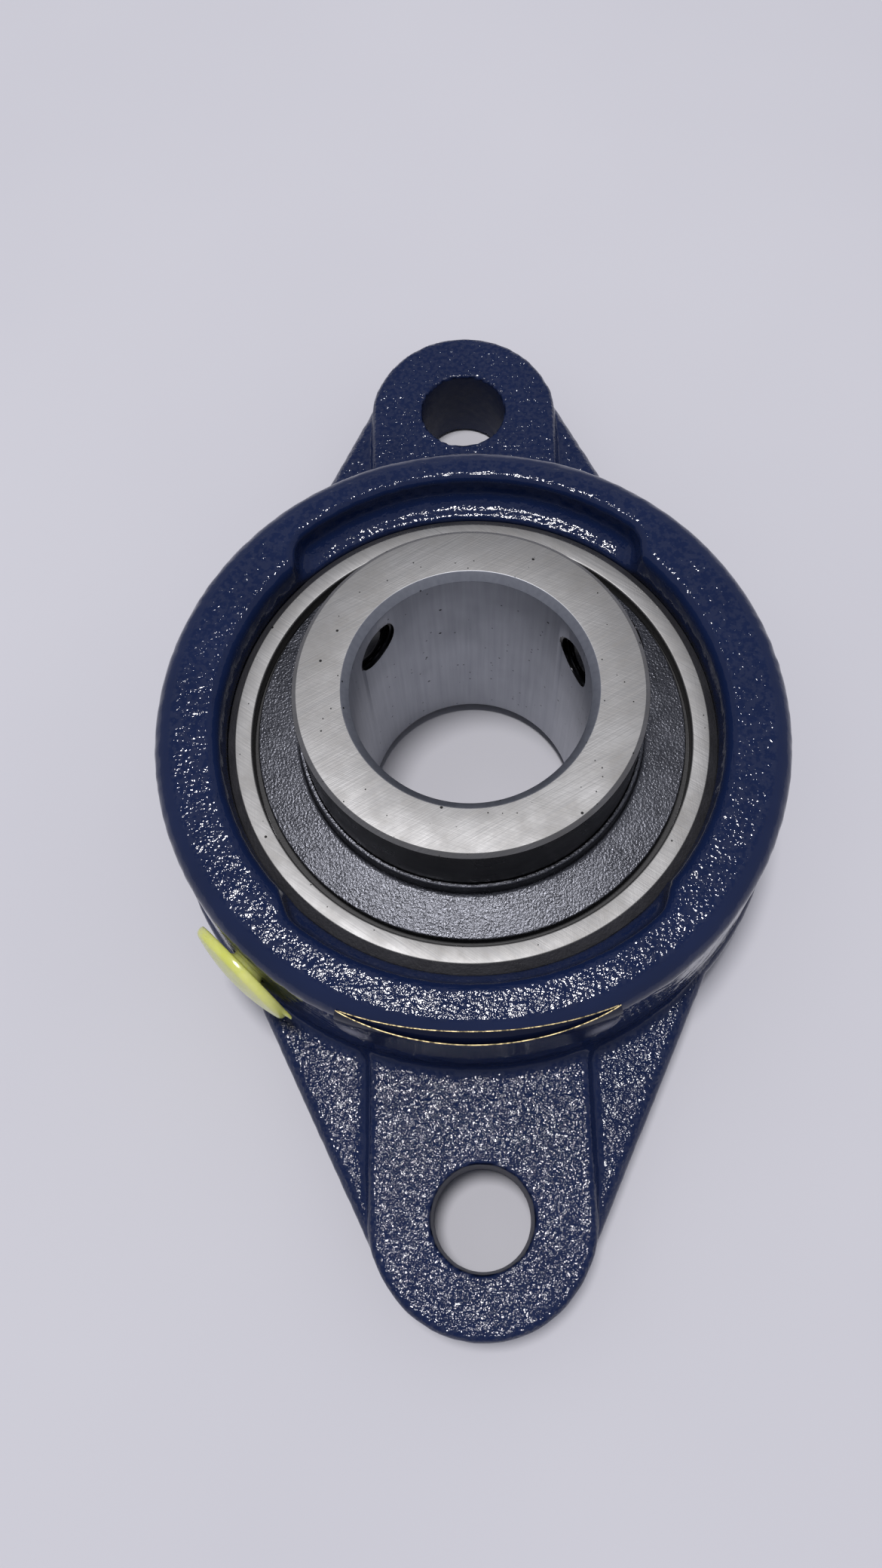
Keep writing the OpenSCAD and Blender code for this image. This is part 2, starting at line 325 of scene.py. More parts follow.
def make_housing(material):
    """The casting: the distance field's surface with a shallow cast relief on its unmachined faces.

    The attribute "cast" says how strongly the paint shows the sand's grain, and "dull" marks the bolt holes.
    """
    above_base = (0.6, 2)
    outside_seat = (0.1, 0.6)
    above_pads = pad_h + 3
    under_face = drum_h - 2
    flange_grain = 1.3
    drum_grain = 0.8
    bay_grain = 0.45
    wall_grain = 0.12
    flange_facing = (0.7, 0.97)
    drum_facing = (0.96, 0.998)
    bay_facing = (0.6, 0.8)
    points, quads = surface_net(housing_field, housing_low, housing_high, cast_step)
    points = settle(housing_field, points, quads, cast_step)
    slope = field_slope(housing_field, points)
    normal = slope / length(*slope)
    x, y, z = points
    radius = length(x, y)
    from_seat = length(x, y, z - seat_z) - sphere_r
    cast = smooth_step(z, *above_base)
    cast = cast * np.where(radius < flange_r, smooth_step(from_seat, *outside_seat), 1)
    grain = GrainNoise(seed=7, shortest=1.5, longest=4)
    relief = cast_grain * cast
    tilted = normal - relief * grain.slope(points)
    points = points + normal * relief * grain.height(points)
    piece = new_piece("housing_casting", points, quads, "housing", ["housing"], [material])
    facing_up = normal[2]
    in_mouth = (radius < bay_r + bay_shift) & (z < under_face)
    on_flange = (z < above_pads) * flange_grain * smooth_step(facing_up, *flange_facing)
    on_drum = (z > under_face) * drum_grain * smooth_step(facing_up, *drum_facing)
    in_bay = in_mouth * bay_grain * smooth_step(facing_up, *bay_facing)
    most = np.maximum(np.maximum(on_flange, on_drum), in_bay)
    rough = cast * (wall_grain + (1 - wall_grain) * most)
    in_hole = length(x, np.abs(y) - bolt_y) < bolt_r + hole_edge_r
    for name, values in (("cast", rough), ("dull", in_hole)):
        attribute = piece.data.attributes.new(name, "FLOAT", "POINT")
        attribute.data.foreach_set("value", values.astype(np.float32))
    tilted = tilted / length(*tilted)
    piece.data.normals_split_custom_set_from_vertices(tilted.T.astype(np.float32))


# ---------------------------------------------------------------- insert sizes, in mm

ring_face_r = 33.43
ring_bore_r = 31.0
ring_shoulder_r = 30.0
ring_face_h = ring_high[2] - seat_z
seal_ledge_h = 6.6
pitch_r = 26.75
track_r = 5.6
inner_r = inner_high[0]
bore_chamfer = 1.05
rim_chamfer = 0.6
screw_azimuths = (math.radians(24), math.radians(144))
screw_z = (screw_low[2] + screw_high[2]) / 2
screw_r = 3.97
screw_tip = 16.8
screw_len = 7.9
# A set screw's travel ends near a whole number of pitches from rest both ways, so the threads stay clear
thread_pitch = 0.925
thread_rows = 12
thread_crest = 0.12
thread_flank = 0.65
thread_depth = 0.55
thread_gap = 0.09
socket_half = 2.0
socket_depth = 4.0
lathe_turns = 256


def rounded(corners, steps=5):
    """Closed outline through (x, y, radius) corners, each one rounded to its radius."""
    outline = []
    count = len(corners)
    for i, (x, y, radius) in enumerate(corners):
        corner = Vector((x, y))
        if radius == 0:
            outline.append(tuple(corner))
            continue
        before = (Vector(corners[i - 1][:2]) - corner).normalized()
        after = (Vector(corners[(i + 1) % count][:2]) - corner).normalized()
        half = before.angle(after) / 2
        reach = radius / math.tan(half)
        centre = corner + (before + after).normalized() * (radius / math.sin(half))
        first = corner + before * reach - centre
        sweep = first.angle_signed(corner + after * reach - centre)
        for k in range(steps + 1):
            turn = -sweep * k / steps
            arm = Vector((
                first.x * math.cos(turn) - first.y * math.sin(turn),
                first.x * math.sin(turn) + first.y * math.cos(turn),
            ))
            outline.append(tuple(centre + arm))
    return outline


def arc(centre_x, centre_y, radius, start, end, steps=24):
    """Points on a circular arc, with its angles in radians."""
    return [
        (centre_x + radius * math.cos(a), centre_y + radius * math.sin(a), 0)
        for a in np.linspace(start, end, steps + 1)
    ]


def grid_faces(rows, columns, close_rows, close_columns):
    """Quads over a grid of points stored row by row."""
    row = np.arange(rows if close_rows else rows - 1)[:, None]
    column = np.arange(columns if close_columns else columns - 1)[None, :]
    next_row = (row + 1) % rows
    next_column = (column + 1) % columns
    corners = [row * columns + column, row * columns + next_column,
               next_row * columns + next_column, next_row * columns + column]
    return np.stack([np.broadcast_to(c, corners[0].shape).ravel() for c in corners], 1)


def lathe(outline, closed=True, turns=lathe_turns):
    """Points and quads of a (radius, height) outline turned round the z axis."""
    outline = np.array([point[:2] for point in outline])
    angle = np.linspace(0, 2 * math.pi, turns, endpoint=False)
    radius = outline[:, :1]
    height = np.broadcast_to(outline[:, 1:2], (len(outline), turns))
    points = np.stack([radius * np.cos(angle), radius * np.sin(angle), height]).reshape(3, -1)
    return points, grid_faces(len(outline), turns, closed, True)


def lift(points, z):
    return points + np.array([[0], [0], [z]])


def flip_z(points, faces, z):
    """The same piece mirrored in the plane at height z."""
    mirrored = points.copy()
    mirrored[2] = 2 * z - mirrored[2]
    return mirrored, faces[:, ::-1]


def finish_mesh(piece, sharp_angle=math.radians(32), merge=False):
    """Joins points that share a place and splits the shading at sharp edges."""
    if merge:
        work = bmesh.new()
        work.from_mesh(piece.data)
        bmesh.ops.remove_doubles(work, verts=work.verts, dist=1e-6)
        bmesh.ops.dissolve_degenerate(work, edges=work.edges, dist=1e-7)
        bmesh.ops.recalc_face_normals(work, faces=work.faces)
        work.to_mesh(piece.data)
        work.free()
        piece.data.shade_smooth()
    piece.data.set_sharp_from_angle(angle=sharp_angle)


def choose_materials(piece, pick):
    """Gives each face the material slot that pick returns for the face centres (3 x n, in mm)."""
    mesh = piece.data
    centre = np.zeros(len(mesh.polygons) * 3, np.float32)
    mesh.polygons.foreach_get("center", centre)
    index = pick(*(centre.reshape(-1, 3).T / MM))
    mesh.polygons.foreach_set("material_index", index.astype(np.int32))
    mesh.update()


# ---------------------------------------------------------------- insert

def make_outer_ring(ground, spherical, rim):
    """Outer ring: spherical outside, ground faces, seal ledges and the ball track."""
    ledge_r = 31.6
    ledge_low = 6.7
    ledge_high = 7.5
    painted_band = 2.5
    edge_h = ring_face_h - 1.2
    half = [(ring_shoulder_r, seal_ledge_h, 0.15), (ring_bore_r, seal_ledge_h, 0)]
    half += [(ring_bore_r, ledge_low, 0), (ledge_r, ledge_low, 0), (ledge_r, ledge_high, 0)]
    half += [(ring_bore_r, ledge_high, 0), (ring_bore_r, ring_face_h, 0.3), (ring_face_r, ring_face_h, 0.3)]
    edge_angle = math.asin(edge_h / sphere_r)
    dome = arc(0, 0, sphere_r, edge_angle, -edge_angle, 40)
    lower = [(r, -h, radius) for r, h, radius in reversed(half)]
    track_angle = math.acos((ring_shoulder_r - pitch_r) / track_r)
    track = arc(pitch_r, 0, track_r, -track_angle, track_angle)
    points, faces = lathe(rounded(half + dome + lower + track))
    ring = new_piece("outer_ring_turned", lift(points, seat_z), faces[:, ::-1], "insert",
                     ["outer_ring"], [ground, spherical, rim])
    finish_mesh(ring, merge=True)

    def pick(x, y, z):
        outside = length(x, y) > ring_face_r + 0.1
        painted = z > seat_z + edge_h - painted_band
        return np.where(outside, np.where(painted, 2, 1), 0)

    choose_materials(ring, pick)


def thread_radius(along, angle, crest_r):
    """Radius of a V thread at a distance along its axis and an angle round it."""
    wave = np.abs(2 * np.mod(along / thread_pitch - angle / (2 * math.pi), 1) - 1)
    return crest_r - thread_depth * np.clip((wave - thread_crest) / thread_flank, 0, 1)


def screw_surface(stations, azimuth, sides=48):
    """Solid round a radial axis from (distance along it, radius at each side) stations."""
    angle = np.linspace(0, 2 * math.pi, sides, endpoint=False)
    along = np.array([station[0] for station in stations])[:, None] + np.zeros(sides)
    radius = np.array([station[1](angle, station[0]) for station in stations])
    across = radius * np.cos(angle)
    height = radius * np.sin(angle)
    x = along * math.cos(azimuth) - across * math.sin(azimuth)
    y = along * math.sin(azimuth) + across * math.cos(azimuth)
    points = np.stack([x, y, height + screw_z]).reshape(3, -1)
    return points, grid_faces(len(stations), sides, False, True)


def round_at(radius):
    return lambda angle, along: np.full(angle.shape, radius)


def hexagon_at(half_width):
    return lambda angle, along: half_width / np.cos(np.mod(angle, math.pi / 3) - math.pi / 6)


def thread_at(crest_r, limit_r=math.inf):
    return lambda angle, along: np.minimum(thread_radius(along, angle, crest_r), limit_r)


def make_set_screw(number, azimuth, material):
    """Set screw: cup point, rolled thread and a hexagon socket in its outer end."""
    cup_r = 2.0
    cup_depth = 1.2
    point_r = 2.5
    face_r = 3.2
    mouth_r = 2.55
    mouth_depth = 0.3
    drill_cone = 0.8
    end_gap = 0.1
    outer = screw_tip + screw_len
    steps = int(screw_len / thread_pitch * thread_rows)
    stations = [(screw_tip + cup_depth, round_at(0))]
    stations += [(screw_tip, round_at(cup_r)), (screw_tip, round_at(point_r))]
    for k in range(steps + 1):
        along = screw_tip + end_gap + (screw_len - 2 * end_gap) * k / steps
        limit = min(point_r + 0.1 + (along - screw_tip), face_r + 0.1 + (outer - along) * 1.2)
        stations.append((along, thread_at(screw_r, limit)))
    stations += [(outer, round_at(face_r)), (outer, round_at(mouth_r))]
    for depth in (mouth_depth, socket_depth):
        stations.append((outer - depth, hexagon_at(socket_half)))
    stations.append((outer - socket_depth - drill_cone, round_at(0)))
    points, faces = screw_surface(stations, azimuth)
    name = f"set_screw_{number}"
    screw = new_piece(f"{name}_threaded", points, faces, name, [name], [material])
    finish_mesh(screw, merge=True)


def make_inner_ring(ground, bore, black, thread):
    """Inner ring: bore, chamfers, faces and ball track, with two tapped set-screw holes."""
    overshoot = 2
    back = inner_low[2] - seat_z
    front = inner_high[2] - seat_z
    track_angle = math.acos((pitch_r - inner_r) / track_r)
    corners = [(bore_r, back + bore_chamfer, 0.1), (bore_r, front - bore_chamfer, 0.1),
               (bore_r + bore_chamfer, front, 0.22), (inner_r - rim_chamfer, front, 0.2),
               (inner_r, front - rim_chamfer, 0.3)]
    corners += arc(pitch_r, 0, track_r, math.pi - track_angle, math.pi + track_angle)
    corners += [(inner_r, back + rim_chamfer, 0.3), (inner_r - rim_chamfer, back, 0.15),
                (bore_r + bore_chamfer, back, 0.1)]
    points, faces = lathe(rounded(corners))
    ring = new_piece("inner_ring_turned", lift(points, seat_z), faces[:, ::-1], "rotor",
                     ["inner_ring"], [ground, bore, black, thread])
    finish_mesh(ring, merge=True)
    for azimuth in screw_azimuths:
        start = bore_r - overshoot
        end = inner_r + overshoot
        steps = int((end - start) / thread_pitch * thread_rows)
        stations = [(start, round_at(0))]
        for k in range(steps + 1):
            along = start + (end - start) * k / steps
            stations.append((along, thread_at(screw_r + thread_gap)))
        stations.append((end, round_at(0)))
        cut_points, cut_faces = screw_surface(stations, azimuth)
        cutter = new_piece("thread_cutter", cut_points, cut_faces, "rotor")
        finish_mesh(cutter, merge=True)
        subtract(ring, cutter)

    def pick(x, y, z):
        skin = 0.02
        outer_band = 0.4
        radius = length(x, y)
        index = np.where(radius < bore_r + bore_chamfer + skin, 1, 0)
        index = np.where((z < inner_high[2] - rim_chamfer) & (radius > inner_r - outer_band), 2, index)
        for azimuth in screw_azimuths:
            along = x * math.cos(azimuth) + y * math.sin(azimuth)
            across = y * math.cos(azimuth) - x * math.sin(azimuth)
            in_hole = (length(across, z - screw_z) < screw_r + thread_gap) & (along > 0)
            index = np.where(in_hole & (radius > bore_r + skin) & (radius < inner_r - skin), 3, index)
        return index

    choose_materials(ring, pick)


def subtract(piece, cutter):
    """Cuts one mesh out of another for good and deletes the cutter."""
    cut = piece.modifiers.new("cut", "BOOLEAN")
    cut.operation = "DIFFERENCE"
    cut.solver = "EXACT"
    cut.object = cutter
    graph = bpy.context.evaluated_depsgraph_get()
    result = bpy.data.meshes.new_from_object(piece.evaluated_get(graph))
    piece.modifiers.clear()
    old = piece.data
    result.name = old.name
    piece.data = result
    bpy.data.meshes.remove(old)
    bpy.data.objects.remove(cutter)
    piece.data.shade_smooth()
    piece.data.set_sharp_from_angle(angle=math.radians(32))


def make_flinger(name, node, mirror, material):
    """Pressed sheet-metal flinger: a collar on the inner ring and a shallow cone."""
    grip_r = inner_r + 0.01
    collar_r = inner_r + 0.7
    brim_r = 30.2
    sheet = 0.6
    brim_h = 9.6
    root_h = 10.4
    collar_top = 13.9
    corners = [(grip_r, root_h - sheet, 0.2), (collar_r, root_h - 0.1, 0.2), (brim_r, brim_h, 0.28),
               (brim_r, brim_h + sheet, 0.28), (collar_r, root_h + sheet, 0.6),
               (collar_r, collar_top, 0.3), (grip_r, collar_top, 0.2)]
    points, faces = lathe(rounded(corners))
    points = lift(points, seat_z)
    faces = faces[:, ::-1]
    if mirror:
        points, faces = flip_z(points, faces, seat_z)
    flinger = new_piece(name, points, faces, "rotor", [node], [material])
    finish_mesh(flinger, merge=True)


# ---------------------------------------------------------------- plug and label

def make_grease_plug(material):
    """Moulded grease plug: a barbed stem, a domed cap with a soft rim and a small pull tab."""
    cap_back = 45.3
    cap_r = 8.5
    rim_t = 1.3
    dome_h = 1.2
    rim_r = 0.9
    stem_r = 2.95
    stem_tip = 37.5
    tip_r = 2.15
    neck_r = 2.7
    root_r = 3.15
    back_edge_r = 0.35
    dome_r = (cap_r ** 2 + dome_h ** 2) / (2 * dome_h)
    outline = [(0, stem_tip), (tip_r, stem_tip), (stem_r, stem_tip + 1.2), (stem_r, stem_tip + 1.6),
               (neck_r, stem_tip + 2.2), (neck_r, cap_back - 0.4), (root_r, cap_back)]
    outline += [point[:2] for point in arc(cap_r - back_edge_r, cap_back + back_edge_r, back_edge_r,
                                           -math.pi / 2, 0, 6)]
    dome_low = cap_back + rim_t + dome_h - dome_r
    rim_angle = math.acos((cap_r - rim_r) / (dome_r - rim_r))
    rim_along = dome_low + (dome_r - rim_r) * math.sin(rim_angle)
    outline += [point[:2] for point in arc(cap_r - rim_r, rim_along, rim_r, 0, rim_angle, 8)]
    outline += [point[:2] for point in arc(0, dome_low, dome_r, rim_angle, math.pi / 2, 24)[1:]]
    turned, faces = lathe(outline, closed=False, turns=96)
    across, height, along = turned
    tab = tab_push(across, height, along - cap_back, cap_r)
    across = across + tab
    x = along * math.cos(grease_azimuth) - across * math.sin(grease_azimuth)
    y = along * math.sin(grease_azimuth) + across * math.cos(grease_azimuth)
    points = np.stack([x, y, height + grease_z])
    plug = new_piece("grease_plug_moulded", points, faces, "grease_plug",
                     ["grease_plug"], [material])
    finish_mesh(plug, merge=True, sharp_angle=math.radians(50))


def tab_push(across, height, depth, cap_r):
    """How far the rim is drawn out into the pull tab, at the end of the cap nearer the label."""
    tab_half = 1.5
    tab_reach = 1.1
    tab_t = 0.6
    rim_band = 1.6
    on_rim = (across > cap_r - rim_band) & (depth < tab_t) & (depth > -0.1)
    return np.where(on_rim, tab_reach * np.clip(1 - np.abs(height) / tab_half, 0, 1), 0)


label_corner_r = 3.5
sheet_t = 0.12
sheet_columns = 96
sheet_rows = 24


def curved_sheet(half_angle, low_z, high_z, radius_at, top_rise=0.0):
    """A thin closed sheet bent round the drum about -Y: round lower corners, and a crown on its top edge."""
    columns = sheet_columns
    rows = sheet_rows
    corner_r = label_corner_r
    u = np.linspace(-1, 1, columns)[:, None]
    v = np.linspace(-1, 1, rows)[None, :]
    half_width = half_angle * drum_r
    half_height = (high_z - low_z) / 2
    past = np.clip(np.abs(u) * half_width - (half_width - corner_r), 0, corner_r)
    corner = (corner_r - np.sqrt(corner_r ** 2 - past ** 2)) * (1 - v) / 2
    z = (low_z + high_z) / 2 + v * half_height + corner
    z = z + top_rise * (1 - u ** 2) * (1 + v) / 2
    azimuth = -math.pi / 2 + u * half_angle + 0 * v
    sheets = []
    for offset in (0, -sheet_t):
        radius = radius_at(u, z) + offset
        sheets.append(np.stack([radius * np.cos(azimuth), radius * np.sin(azimuth), z]))
    points = np.concatenate([sheet.reshape(3, -1) for sheet in sheets], 1)
    count = columns * rows
    front = grid_faces(columns, rows, False, False)
    back = front[:, ::-1] + count
    index = np.arange(count).reshape(columns, rows)
    border = np.concatenate([index[:, 0], index[-1, 1:], index[-2::-1, -1], index[0, -2:0:-1]])
    following = np.roll(border, -1)
    edge = np.stack([border, border + count, following + count, following], 1)
    return points, np.concatenate([front, back, edge])


def drum_wall(z):
    """Radius of the drum's wall at height z, round its front edge too."""
    wall = drum_r - drum_draft * (z - flange_t)
    above = np.clip(z - (drum_h - drum_edge_r), 0, drum_edge_r)
    return wall - drum_edge_r + np.sqrt(drum_edge_r ** 2 - above ** 2)


def make_label(foil, gold):
    """Foil label round the drum's wall: its front ply stands off its backing in the middle."""
    half_angle = math.radians(24.6)
    backing_share = 0.985
    low_z = 24.0
    high_z = 33.0
    crown = 0.65
    backing_gap = 0.16
    front_gap = 0.34
    lean = 0.25

    def backing_radius(u, z):
        return drum_wall(z) + backing_gap

    def front_radius(u, z):
        lifted = (1 - u ** 2) ** 0.8
        rise = smooth_step(z, low_z, high_z)
        hugging = drum_wall(z) + front_gap
        standing = drum_r - 0.3 - lean * rise
        return hugging + (standing - hugging) * lifted * rise

    backing = curved_sheet(half_angle * backing_share, low_z + 0.3, high_z - 0.1, backing_radius, crown)
    front = curved_sheet(half_angle, low_z, high_z, front_radius)
    for name, (points, faces) in (("label_foil", front), ("label_backing", backing)):
        piece = new_piece(name, points, faces, "housing", ["label"], [foil, gold])
        finish_mesh(piece, sharp_angle=math.radians(40))
        edge_count = 2 * (sheet_columns + sheet_rows) - 4
        index = np.zeros(len(faces), np.int32)
        index[-edge_count:] = 1
        piece.data.polygons.foreach_set("material_index", index)


# ---------------------------------------------------------------- materials

def add(tree, kind, inputs=None, **settings):
    """Adds a shader node, sets its properties, and links or sets its inputs."""
    made = tree.nodes.new("ShaderNode" + kind)
    for name, value in settings.items():
        setattr(made, name, value)
    for key, value in (inputs or {}).items():
        if isinstance(value, bpy.types.NodeSocket):
            tree.links.new(value, made.inputs[key])
        else:
            made.inputs[key].default_value = value
    return made


def start_material(name):
    """A new material's tree, its main shader, and its object coordinates in mm."""
    material = bpy.data.materials.new(name)
    material.use_nodes = True
    tree = material.node_tree
    shader = tree.nodes["Principled BSDF"]
    place = add(tree, "TexCoord").outputs["Object"]
    place_mm = add(tree, "VectorMath", {0: place, 1: (1000, 1000, 1000)}, operation="MULTIPLY").outputs[0]
    return material, tree, shader, place_mm


def stretched(tree, place, scale, turn=0.0):
    """Coordinates turned about z, then scaled along each axis, for lines and streaks."""
    turned = add(tree, "VectorRotate", {"Vector": place, "Angle": turn}, rotation_type="Z_AXIS").outputs[0]
    return add(tree, "VectorMath", {0: turned, 1: scale}, operation="MULTIPLY").outputs[0]


def noise(tree, place, scale, detail=2.0, roughness=0.5):
    inputs = {"Vector": place, "Scale": scale, "Detail": detail, "Roughness": roughness}
    return add(tree, "TexNoise", inputs).outputs["Fac"]


def spots(tree, place, scale, size, share):
    """Small dark dots: 1 inside a dot. Scale is dots per mm, share the part of the cells that hold one."""
    cells = add(tree, "TexVoronoi", {"Vector": place, "Scale": scale, "Randomness": 1.0})
    inside = remap(tree, cells.outputs["Distance"], size, size * 0.7, 0, 1)
    pick = add(tree, "SeparateColor", {"Color": cells.outputs["Color"]}).outputs[0]
    kept = calc(tree, "LESS_THAN", pick, share)
    return calc(tree, "MULTIPLY", inside, kept)


def calc(tree, operation, a, b=0.0):
    return add(tree, "Math", {0: a, 1: b}, operation=operation).outputs[0]


def remap(tree, value, low, high, to_low, to_high):
    inputs = {"Value": value, "From Min": low, "From Max": high, "To Min": to_low, "To Max": to_high}
    return add(tree, "MapRange", inputs).outputs[0]


def blend_colors(tree, share, first, second):
    mix = add(tree, "Mix", data_type="RGBA")
    for key, value in ((0, share), (6, first), (7, second)):
        if isinstance(value, bpy.types.NodeSocket):
            tree.links.new(value, mix.inputs[key])
        else:
            mix.inputs[key].default_value = value if key == 0 else (*value, 1)
    return mix.outputs[2]


def bump(tree, height, depth, under=None):
    """Bump whose height of 0 to 1 spans depth in mm."""
    inputs = {"Height": height, "Strength": 1.0, "Distance": depth * MM}
    if under is not None:
        inputs["Normal"] = under
    return add(tree, "Bump", inputs).outputs[0]


def finish_material(tree, shader, **inputs):
    for name, value in inputs.items():
        key = name.replace("_", " ")
        if isinstance(value, bpy.types.NodeSocket):
            tree.links.new(value, shader.inputs[key])
        elif isinstance(value, tuple):
            shader.inputs[key].default_value = (*value, 1)
        else:
            shader.inputs[key].default_value = value


def casting_paint():
    """Gloss navy paint over sand-cast iron: dense fine grain on the upward faces, smoother on the walls."""
    wall_shine = 0.36
    hole_shine = 0.25
    hole_roughness = 0.45
    clump_swing = wall_shine * 0.5
    material, tree, shader, place = start_material("casting_paint")
    cast = add(tree, "Attribute", attribute_name="cast").outputs["Fac"]
    dull = add(tree, "Attribute", attribute_name="dull").outputs["Fac"]
    coarse = noise(tree, place, 0.9, 2, 0.5)
    fine = noise(tree, place, 2.0, 1, 0.5)
    relief = calc(tree, "ADD", calc(tree, "MULTIPLY", coarse, 0.35), calc(tree, "MULTIPLY", fine, 0.65))
    grain = bump(tree, calc(tree, "MULTIPLY", relief, cast), 0.23)
    ripple = bump(tree, noise(tree, place, 0.5, 2), 0.03, under=grain)
    shade = noise(tree, place, 0.12, 3)
    color = blend_colors(tree, shade, (0.006, 0.0125, 0.046), (0.009, 0.018, 0.064))
    gloss = remap(tree, coarse, 0.3, 0.7, 0.06, 0.13)
    clumps = remap(tree, noise(tree, place, 1.4, 2, 0.5), 0.43, 0.57, -clump_swing, clump_swing)
    clumps = calc(tree, "MULTIPLY", clumps, remap(tree, cast, 0.3, 0.8, 0, 1))
    shine = calc(tree, "ADD", remap(tree, dull, 0, 1, wall_shine, hole_shine), clumps)
    rough = calc(tree, "ADD", gloss, calc(tree, "MULTIPLY", dull, hole_roughness))
    finish_material(tree, shader, Base_Color=color, Roughness=rough, Specular_IOR_Level=shine, Normal=ripple)
    return material


def ground_steel(name, turn):
    """Ground faces: straight grinding lines with a few crossing ones, faint clouding and dark pits."""
    material, tree, shader, place = start_material(name)
    lines = noise(tree, stretched(tree, place, (0.15, 7, 1), turn), 1, 3, 0.6)
    crossing = noise(tree, stretched(tree, place, (0.2, 5, 1), turn + math.radians(50)), 1, 2, 0.5)
    cloud = noise(tree, place, 0.18, 4, 0.6)
    pits = calc(tree, "MAXIMUM", spots(tree, place, 0.45, 0.09, 0.4), spots(tree, place, 1.1, 0.11, 0.16))
    bright = blend_colors(tree, remap(tree, cloud, 0.3, 0.7, 0, 1), (0.205, 0.20, 0.192), (0.29, 0.29, 0.29))
    lined = blend_colors(tree, remap(tree, lines, 0.35, 0.6, 0, 1), (0.215, 0.215, 0.215), bright)
    color = blend_colors(tree, pits, lined, (0.02, 0.02, 0.02))
    rough = remap(tree, cloud, 0.3, 0.7, 0.52, 0.44)
    scratch = bump(tree, calc(tree, "ADD", lines, calc(tree, "MULTIPLY", crossing, 0.6)), 0.009)
    normal = bump(tree, calc(tree, "SUBTRACT", 0.0, pits), 0.03, under=scratch)
    finish_material(tree, shader, Base_Color=color, Metallic=1.0, Roughness=rough, Normal=normal)
    return material


def bore_steel():
    """Honed bore: soft streaks along the shaft, dark pits and a bluish cast."""
    material, tree, shader, place = start_material("bore_steel")
    streaks = noise(tree, stretched(tree, place, (1.4, 1.4, 0.05)), 1, 3, 0.6)
    cloud = noise(tree, place, 0.1, 3, 0.6)
    pits = calc(tree, "MAXIMUM", spots(tree, place, 0.4, 0.1, 0.5), spots(tree, place, 0.9, 0.14, 0.25))
    share = remap(tree, streaks, 0.3, 0.7, 0, 1)
    base = blend_colors(tree, share, (0.31, 0.325, 0.365), (0.37, 0.385, 0.425))
    color = blend_colors(tree, pits, base, (0.015, 0.015, 0.015))
    rough = remap(tree, cloud, 0.3, 0.7, 0.36, 0.46)
    normal = bump(tree, streaks, 0.004)
    finish_material(tree, shader, Base_Color=color, Metallic=1.0, Roughness=rough, Normal=normal)
    return material


def black_steel(name, tone, rough, stipple_scale, stipple_depth, metallic=0.85):
    """Dark oxide or phosphate finish with a fine stipple."""
    material, tree, shader, place = start_material(name)
    stipple = noise(tree, place, stipple_scale, 2, 0.6)
    cloud = noise(tree, place, 0.25, 3, 0.6)
    light = tuple(channel * 1.4 for channel in tone)
    color = blend_colors(tree, remap(tree, cloud, 0.3, 0.7, 0, 1), tone, light)
    finish_material(tree, shader, Base_Color=color, Metallic=metallic,
                    Roughness=remap(tree, cloud, 0.3, 0.7, rough - 0.05, rough + 0.06),
                    Normal=bump(tree, stipple, stipple_depth))
    return material


def turned_steel(name, tone, rough):
    """Bright steel with fine lines round the z axis."""
    material, tree, shader, place = start_material(name)
    lines = noise(tree, stretched(tree, place, (0.02, 0.02, 14)), 1, 2, 0.6)
    cloud = noise(tree, place, 0.3, 3)
    dark = tuple(channel * 0.8 for channel in tone)
    color = blend_colors(tree, remap(tree, cloud, 0.3, 0.7, 0, 1), dark, tone)
    finish_material(tree, shader, Base_Color=color, Metallic=1.0, Normal=bump(tree, lines, 0.004),
                    Roughness=remap(tree, cloud, 0.3, 0.7, rough, rough + 0.08))
    return material


def seal_rubber():
    material, tree, shader, place = start_material("moulded_rubber")
    grain = noise(tree, place, 2.5, 3, 0.6)
    color = blend_colors(tree, grain, (0.010, 0.010, 0.011), (0.022, 0.022, 0.024))
    finish_material(tree, shader, Base_Color=color, Roughness=0.55, Normal=bump(tree, grain, 0.03))
    return material


def plug_plastic():
    """Semi-translucent lime polyethylene: soft scattering, faint flow marks and scuffs."""
    material, tree, shader, place = start_material("plug_plastic")
    flow = noise(tree, place, 0.25, 3, 0.6)
    scuff = noise(tree, place, 3, 2, 0.6)
    color = blend_colors(tree, remap(tree, flow, 0.35, 0.65, 0, 1), (0.66, 0.70, 0.16), (0.76, 0.78, 0.26))
    finish_material(tree, shader, Base_Color=color, Roughness=remap(tree, scuff, 0.3, 0.7, 0.14, 0.26),
                    Subsurface_Weight=0.8, Subsurface_Scale=0.003, Normal=bump(tree, scuff, 0.01))
    shader.inputs["Subsurface Radius"].default_value = (1.0, 0.95, 0.25)
    return material


